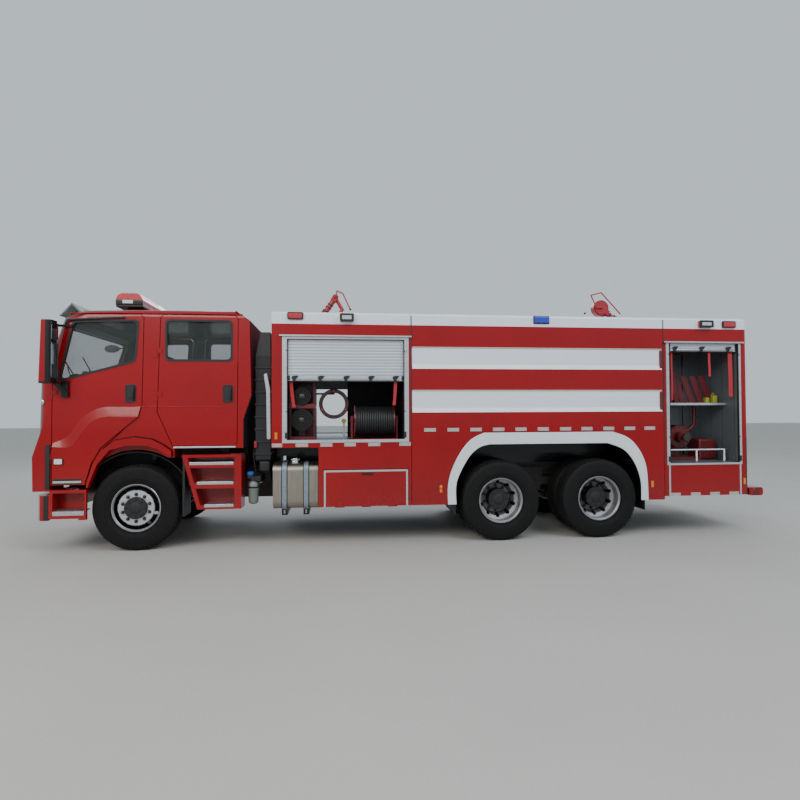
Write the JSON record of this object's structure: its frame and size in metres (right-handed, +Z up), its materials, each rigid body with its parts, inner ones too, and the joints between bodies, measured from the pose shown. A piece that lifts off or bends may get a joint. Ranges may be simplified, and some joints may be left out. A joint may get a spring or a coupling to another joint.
{
  "type": "foam fire truck",
  "caption": "Red crew-cab foam fire truck with a tank body, open side lockers, roof monitors and a hose reel.",
  "frame": {"origin": "centre of the vehicle's bounding box, on the ground", "axes": "+X forward, +Y to the driver's left, +Z up"},
  "size_m": [9.65, 2.95, 3.5888],
  "materials": {
    "red_paint": "gloss",
    "white_paint": "gloss",
    "aluminium": "satin",
    "black_steel": "satin",
    "cast_steel": "matte",
    "wheel_silver": "satin",
    "tyre": "matte",
    "clear_glass": "gloss",
    "black_plastic": "matte",
    "red_lens": "gloss",
    "trim_grey": "matte",
    "smoked_lens": "gloss",
    "red_webbing": "matte"
  },
  "bodies": {
    "chassis": {"chassis_frame": "black_steel", "engine_block": "cast_steel", "driveline": "cast_steel", "front_axle": "cast_steel", "suspension": "black_steel", "front_bumper": "red_paint", "front_fenders": "red_paint", "crew_steps": "red_paint", "fuel_tanks": "aluminium", "air_intake": "black_plastic", "body_front": "red_paint", "body_tank": "red_paint", "body_rear": "red_paint", "locker_frames": "aluminium", "roller_shutters": "aluminium", "locker_fittings": "red_paint", "rear_rack": "aluminium", "body_lamps": "red_lens", "pull_straps": "red_webbing", "rear_bumper": "red_paint", "ladder": "aluminium"},
    "cab": {"cab_shell": "red_paint", "cab_interior": "trim_grey", "windshield": "clear_glass", "sun_visor": "smoked_lens", "light_bar": "red_lens"},
    "front_door_left": {"front_door_left": "red_paint", "front_door_glass_left": "clear_glass", "mirror_left": "black_plastic"},
    "rear_door_left": {"rear_door_left": "red_paint", "rear_door_glass_left": "clear_glass"},
    "knuckle_left": {"steering_knuckle_left": "cast_steel"},
    "front_wheel_left": {"front_rim_left": "wheel_silver", "front_tyre_left": "tyre"},
    "middle_wheel_left": {"middle_rims_left": "wheel_silver", "middle_tyres_left": "tyre"},
    "rear_wheel_left": {"rear_rims_left": "wheel_silver", "rear_tyres_left": "tyre"},
    "step_hatch_left": {"step_hatch_left": "red_paint"},
    "front_door_right": {"front_door_right": "red_paint", "front_door_glass_right": "clear_glass", "mirror_right": "black_plastic"},
    "rear_door_right": {"rear_door_right": "red_paint", "rear_door_glass_right": "clear_glass"},
    "knuckle_right": {"steering_knuckle_right": "cast_steel"},
    "front_wheel_right": {"front_rim_right": "wheel_silver", "front_tyre_right": "tyre"},
    "middle_wheel_right": {"middle_rims_right": "wheel_silver", "middle_tyres_right": "tyre"},
    "rear_wheel_right": {"rear_rims_right": "wheel_silver", "rear_tyres_right": "tyre"},
    "step_hatch_right": {"step_hatch_right": "red_paint"},
    "front_turret": {"front_monitor_turret": "red_paint"},
    "front_barrel": {"front_monitor_barrel": "red_paint"},
    "rear_turret": {"rear_monitor_turret": "red_paint"},
    "rear_barrel": {"rear_monitor_barrel": "red_paint"},
    "hose_reel": {"hose_reel": "black_plastic"}
  },
  "joints": [
    {"name": "cab_tilt", "type": "hinge", "parent": "chassis", "child": "cab", "pos_m": [4.745, 0, 0.62], "axis": [0, 1, 0], "range_deg": [0, 45]},
    {"name": "front_door_left_swing", "type": "hinge", "parent": "cab", "child": "front_door_left", "pos_m": [4.597, 1.202, 1.575], "axis": [0, 0, -1], "range_deg": [0, 70]},
    {"name": "rear_door_left_swing", "type": "hinge", "parent": "cab", "child": "rear_door_left", "pos_m": [3.364, 1.202, 2.19], "axis": [0, 0, -1], "range_deg": [0, 70]},
    {"name": "steering_left", "type": "hinge", "parent": "chassis", "child": "knuckle_left", "pos_m": [3.625, 0.88, 0.53], "axis": [0, 0, 1], "range_deg": [-38, 38]},
    {"name": "front_wheel_left_spin", "type": "hinge", "parent": "knuckle_left", "child": "front_wheel_left", "pos_m": [3.625, 1.032, 0.53], "axis": [0, 1, 0], "continuous": true},
    {"name": "middle_wheel_left_spin", "type": "hinge", "parent": "chassis", "child": "middle_wheel_left", "pos_m": [-1.025, 0.92, 0.53], "axis": [0, 1, 0], "continuous": true},
    {"name": "rear_wheel_left_spin", "type": "hinge", "parent": "chassis", "child": "rear_wheel_left", "pos_m": [-2.395, 0.92, 0.53], "axis": [0, 1, 0], "continuous": true},
    {"name": "step_hatch_left_drop", "type": "hinge", "parent": "chassis", "child": "step_hatch_left", "pos_m": [0.766, 1.243, 0.497], "axis": [-1, 0, 0], "range_deg": [0, 90]},
    {"name": "front_door_right_swing", "type": "hinge", "parent": "cab", "child": "front_door_right", "pos_m": [4.597, -1.202, 1.575], "axis": [0, 0, 1], "range_deg": [0, 70]},
    {"name": "rear_door_right_swing", "type": "hinge", "parent": "cab", "child": "rear_door_right", "pos_m": [3.364, -1.202, 2.19], "axis": [0, 0, 1], "range_deg": [0, 70]},
    {"name": "steering_right", "type": "hinge", "parent": "chassis", "child": "knuckle_right", "pos_m": [3.625, -0.88, 0.53], "axis": [0, 0, 1], "range_deg": [-38, 38]},
    {"name": "front_wheel_right_spin", "type": "hinge", "parent": "knuckle_right", "child": "front_wheel_right", "pos_m": [3.625, -1.032, 0.53], "axis": [0, 1, 0], "continuous": true},
    {"name": "middle_wheel_right_spin", "type": "hinge", "parent": "chassis", "child": "middle_wheel_right", "pos_m": [-1.025, -0.92, 0.53], "axis": [0, 1, 0], "continuous": true},
    {"name": "rear_wheel_right_spin", "type": "hinge", "parent": "chassis", "child": "rear_wheel_right", "pos_m": [-2.395, -0.92, 0.53], "axis": [0, 1, 0], "continuous": true},
    {"name": "step_hatch_right_drop", "type": "hinge", "parent": "chassis", "child": "step_hatch_right", "pos_m": [0.766, -1.243, 0.497], "axis": [1, 0, 0], "range_deg": [0, 90]},
    {"name": "hose_reel_spin", "type": "hinge", "parent": "chassis", "child": "hose_reel", "pos_m": [0.64, 0.94, 1.59], "axis": [1, 0, 0], "continuous": true},
    {"name": "front_monitor_pan", "type": "hinge", "parent": "chassis", "child": "front_turret", "pos_m": [1.145, 0, 3.085], "axis": [0, 0, 1], "continuous": true},
    {"name": "front_monitor_tilt", "type": "hinge", "parent": "front_turret", "child": "front_barrel", "pos_m": [1.162, 0, 3.44], "axis": [0, -1, 0], "range_deg": [0, 95]},
    {"name": "rear_monitor_pan", "type": "hinge", "parent": "chassis", "child": "rear_turret", "pos_m": [-3.075, 0, 3.085], "axis": [0, 0, 1], "continuous": true},
    {"name": "rear_monitor_tilt", "type": "hinge", "parent": "rear_turret", "child": "rear_barrel", "pos_m": [-3.025, 0, 3.345], "axis": [0, 1, 0], "range_deg": [0, 95]}
  ],
  "couplings": [
    {"joint": "steering_right", "follows": "steering_left", "ratio": 1}
  ]
}
